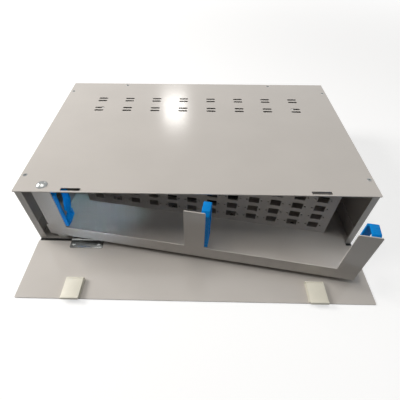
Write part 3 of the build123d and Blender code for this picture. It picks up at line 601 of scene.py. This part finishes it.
def hexagon_nut(bore_r):
    """A nut with chamfered corners, standing on height 0."""
    bpy.ops.object.select_all(action="DESELECT")
    bpy.ops.mesh.primitive_cylinder_add(vertices=6, radius=NUT_CORNER_R * MM, depth=NUT_HEIGHT * MM,
                                        location=(0, 0, NUT_HEIGHT / 2 * MM),
                                        rotation=(0, 0, radians(NUT_TURN)))
    nut = bpy.context.object
    bpy.ops.object.transform_apply(location=True, rotation=True, scale=True)
    combine(nut, turned(NUT_CHAMFER, NUT_SIDES), "INTERSECT")
    bore = turned([(bore_r, -BORE_PAST), (bore_r, NUT_HEIGHT + BORE_PAST)], SMALL_SIDES)
    combine(nut, bore, "DIFFERENCE")
    bpy.ops.object.mode_set(mode="EDIT")
    return close_up(nut)


def add_nuts():
    places = [((*PIVOT, low), (0, 0, turn)) for low, turn in PIVOT_NUTS]
    fit(copies(hexagon_nut(PIVOT_NUT_BORE_R), places), "pivot_nut_pair", "pivot_nuts")
    x, z = EARTH
    places = [((x, y, z), (-90, turn, 0)) for y, turn in EARTH_NUTS]
    fit(copies(hexagon_nut(EARTH_NUT_BORE_R), places), "earth_nut_pair", "earth_nuts")


def add_earth_stud():
    """Stud with a thread on its free end."""
    outline = list(STUD_FOOT)
    for k in range(THREAD_TURNS):
        outline += [(r, STUD_SHOULDER + k + along) for r, along in THREAD_TURN]
    outline += [(r, STUD_SHOULDER + along) for r, along in STUD_END]
    stud = turned(outline, SMALL_SIDES)
    x, z = EARTH
    fit(copies(stud, [((x, EARTH_START, z), (-90, 0, 0))]), "earth_stud_thread", "earth_stud")


def add_grommets():
    inside, outside = -SHEET - GROMMET_LIP, GROMMET_LIP
    outline = [(GROMMET_BORE_R, inside), (GROMMET_R, inside), (GROMMET_R, -SHEET), (GROMMET_NECK_R, -SHEET),
               (GROMMET_NECK_R, 0), (GROMMET_R, 0), (GROMMET_R, outside), (GROMMET_BORE_R, outside)]
    x, z = ENTRY
    for side, sign in (("left", -1), ("right", 1)):
        ring = round_edges(turned(outline, LARGE_SIDES, ring=True), GROMMET_ROUND, GROMMET_SEGMENTS)
        fit(copies(ring, [((sign * x, BACK, z), (-90, 0, 0))]), f"cable_grommet_ring_{side}",
            f"cable_grommet_{side}")


def is_rib(middle, normal):
    """Every second face round the rim of a thumb nut."""
    turn = Vector((middle.x, middle.y)).angle_signed(Vector((1, 0)))
    on_rim = abs(normal.z) < 0.1 and middle.xy.length > THUMB_RIM
    return on_rim and int((turn + pi) / pi * THUMB_RIBS) % 2 == 0


def add_thumb_nuts():
    """Knurled nuts on the splice stack."""
    nut = turned(THUMB_NUT, NUT_SIDES, ring=True)
    pick_faces(nut, is_rib)
    bpy.ops.mesh.inset(thickness=RIB_INSET * MM, depth=-RIB_DEPTH * MM, use_individual=True)
    close_up(nut)
    places = [((*on_tray(*place), SPLICE_TOP), (0, 0, 0)) for place in SPLICE_STUDS]
    fit(copies(nut, places), "thumb_nut_pair", "splice_nuts")


def on_hinge_axis(bar, start):
    """Lays an upright bar along X on the hinge axis, from a starting place."""
    return copies(bar, [((start, *HINGE_AXIS), (0, 90, 0))])


def knuckle(start, end):
    """Rolled knuckle of a hinge leaf along X."""
    length = end - start
    edge_r = KNUCKLE_R - KNUCKLE_CHAMFER
    outline = [(edge_r, 0), (KNUCKLE_R, KNUCKLE_CHAMFER), (KNUCKLE_R, length - KNUCKLE_CHAMFER),
               (edge_r, length)]
    return on_hinge_axis(turned(outline, SMALL_SIDES), start)


def pin_bore(start, end):
    """Cutter for the pin's hole through a knuckle."""
    radius = PIN_R + PIN_CLEARANCE
    bore = turned([(radius, -BORE_PAST), (radius, end - start + BORE_PAST)], PIN_SIDES)
    return on_hinge_axis(bore, start)


def leaf(spans, near, far):
    """Hinge leaf between two places along Y with rounded far corners and its knuckles, at the middle of X."""
    half = HINGE_WIDTH / 2
    plate = slab((-half, min(near, far), SHEET), (half, max(near, far), HINGE_TOP))
    pick_edges(plate, lambda middle, run: abs(run.z) > 0.5 and abs(middle.y - far) < 0.1)
    bpy.ops.mesh.bevel(offset=LEAF_CORNER * MM, segments=LEAF_CORNER_SEGMENTS)
    close_up(plate)
    axis_y = HINGE_AXIS[0]
    low, high = min(axis_y, near) - LEAF_OVERLAP, max(axis_y, near) + LEAF_OVERLAP
    for start, end in spans:
        combine(plate, slab((start, low, SHEET), (end, high, HINGE_TOP)), "UNION")
        combine(plate, knuckle(start, end), "UNION")
        combine(plate, pin_bore(start, end), "DIFFERENCE")
    return round_edges(plate, EDGES["zinc_steel"], EDGE_SEGMENTS)


def add_hinges():
    """Leaves with their knuckles, and the pins, at both sides."""
    first, third = -HINGE_WIDTH / 2, HINGE_WIDTH / 3
    spans = [(first + k * third + KNUCKLE_PLAY, first + (k + 1) * third - KNUCKLE_PLAY) for k in range(3)]
    pin_start, pin_length = spans[0][0], spans[2][1] - spans[0][0]
    pin_outline = PIN_END + [(r, pin_length - along) for r, along in reversed(PIN_END)]
    for side, sign in (("left", -1), ("right", 1)):
        shift = [((sign * HINGE_X, 0, 0), (0, 0, 0))]
        fit(copies(leaf([spans[0], spans[2]], *CASING_LEAF), shift), f"casing_leaf_rolled_{side}",
            f"casing_hinge_leaf_{side}")
        fit(copies(leaf([spans[1]], *DOOR_LEAF), shift), f"door_leaf_rolled_{side}",
            f"door_hinge_leaf_{side}")
        pin = on_hinge_axis(turned(pin_outline, PIN_SIDES), sign * HINGE_X + pin_start)
        fit(pin, f"hinge_pin_domed_{side}", f"hinge_pin_{side}")


def moulded(node, width):
    """A moulding on the lines of a solid, with its sharp edges well rounded."""
    piece = bpy.data.objects.new(f"{node}_moulded", nodes[node].data.copy())
    bpy.context.scene.collection.objects.link(piece)
    take_up(piece)
    bpy.ops.object.mode_set(mode="EDIT")
    bpy.ops.mesh.select_all(action="SELECT")
    bpy.ops.mesh.remove_doubles(threshold=MERGE * MM)
    bpy.ops.mesh.dissolve_limited(angle_limit=radians(FLAT))
    bpy.ops.object.mode_set(mode="OBJECT")
    round_edges(piece, width, MOULDED_SEGMENTS, MOULDED_SHARP)
    fit(piece, f"{node}_moulded", node)


def add_mouldings():
    for place in ("left", "middle", "right"):
        moulded(f"cable_ring_{place}", RING_ROUND)
    for side in ("left", "right"):
        moulded(f"latch_base_{side}", LATCH_ROUND)
        moulded(f"latch_tongue_{side}", LATCH_ROUND)


def soften(piece, width):
    """Rounds the sharp edges of a solid by a small bevel."""
    weld = piece.modifiers.new("weld", "WELD")
    weld.merge_threshold = MERGE * MM
    flat = piece.modifiers.new("flat", "DECIMATE")
    flat.decimate_type = "DISSOLVE"
    flat.angle_limit = radians(FLAT)
    bevel = piece.modifiers.new("bevel", "BEVEL")
    bevel.width = width * MM
    bevel.segments = EDGE_SEGMENTS
    bevel.limit_method = "ANGLE"
    bevel.angle_limit = radians(SHARP)


def finish_nodes():
    """Gives every solid that still shows its finish and a softened edge."""
    for name, piece in nodes.items():
        if piece.hide_render:
            continue
        slot = slots[name]
        piece.data.materials.clear()
        piece.data.materials.append(finishes[slot])
        soften(piece, EDGES.get(name, EDGES[slot]))


def add_camera():
    data = bpy.data.cameras.new("camera")
    data.sensor_width = SENSOR_MM
    data.lens = LENS_MM
    data.shift_x, data.shift_y = SHIFT
    data.clip_start = CAMERA_NEAR
    camera = bpy.data.objects.new("camera", data)
    camera.location = CAMERA_PLACE
    camera.rotation_euler = [radians(turn) for turn in CAMERA_TURN]
    bpy.context.scene.collection.objects.link(camera)
    bpy.context.scene.camera = camera


def add_lamps():
    for name, (place, aim, size, power, spread, colour) in LAMPS.items():
        data = bpy.data.lights.new(name, "AREA")
        data.shape = "RECTANGLE"
        data.size, data.size_y = size
        data.energy = power
        data.spread = radians(spread)
        data.color = colour
        lamp = bpy.data.objects.new(name, data)
        lamp.location = place
        lamp.rotation_euler = (Vector(aim) - Vector(place)).to_track_quat("-Z", "Y").to_euler()
        bpy.context.scene.collection.objects.link(lamp)


def narrow_lamp(name, pieces):
    """Keeps the light of a lamp to some pieces."""
    lit = bpy.data.collections.new(f"{name}_lights")
    for piece in pieces:
        lit.objects.link(bpy.data.objects[piece])
    bpy.data.objects[name].light_linking.receiver_collection = lit


def add_surroundings():
    """White where they are seen, dimmer for the light that spreads."""
    world = bpy.data.worlds.new("surroundings")
    finish = Finish(world, "Background")
    finish.set(strength=SURROUNDINGS + (1 - SURROUNDINGS) * finish.seen(), color=(1, 1, 1, 1))
    bpy.context.scene.world = world


def add_floor():
    """Pale floor that glows where it is seen, so that it is white and keeps the shadow.

    Under the casing and in the slit between it and the door it is dark: a painted shadow, with no glow there,
    stands for the casing's shade.
    """
    bpy.ops.object.select_all(action="DESELECT")
    bpy.ops.mesh.primitive_plane_add(size=FLOOR_SIZE, location=(0, 0, cad_box[0][2] - FLOOR_BELOW))
    floor = bpy.context.object
    bpy.ops.object.transform_apply(location=True)
    floor.name = "floor"
    finish = new_finish("floor")
    seen = finish.seen()
    low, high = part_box("base_plate")
    # Painted shadow: the floor is dark and does not glow under the casing and in the slit before the door
    clear = finish.ramp(finish.distance_from((low[0], DOOR_BACK * MM, 0), high), 0, SHEET * MM)
    near, far = FLOOR_GLOW
    rise = finish.ramp(finish.distance_from(*cad_box), *GLOW_OVER)
    glow = (near + (far - near) * rise) * clear * seen
    colour = finish.mix(seen, FLOOR_BOUNCE, finish.mix(clear, FLOOR_PAINTED_SHADOW, FLOOR_COLOUR))
    finish.set(base_color=colour, roughness=FLOOR_ROUGHNESS, specular_ior_level=0.0, emission_color=glow,
               emission_strength=1.0)
    floor.data.materials.append(finish.owner)


add_camera()
add_surroundings()
add_floor()
add_lamps()
add_screws()
add_bolt()
add_nuts()
add_earth_stud()
add_grommets()
add_thumb_nuts()
add_hinges()
add_mouldings()
finish_nodes()
narrow_lamp("gridded_lamp", LIT_BY_GRID)
bpy.context.scene.view_settings.view_transform = "Standard"
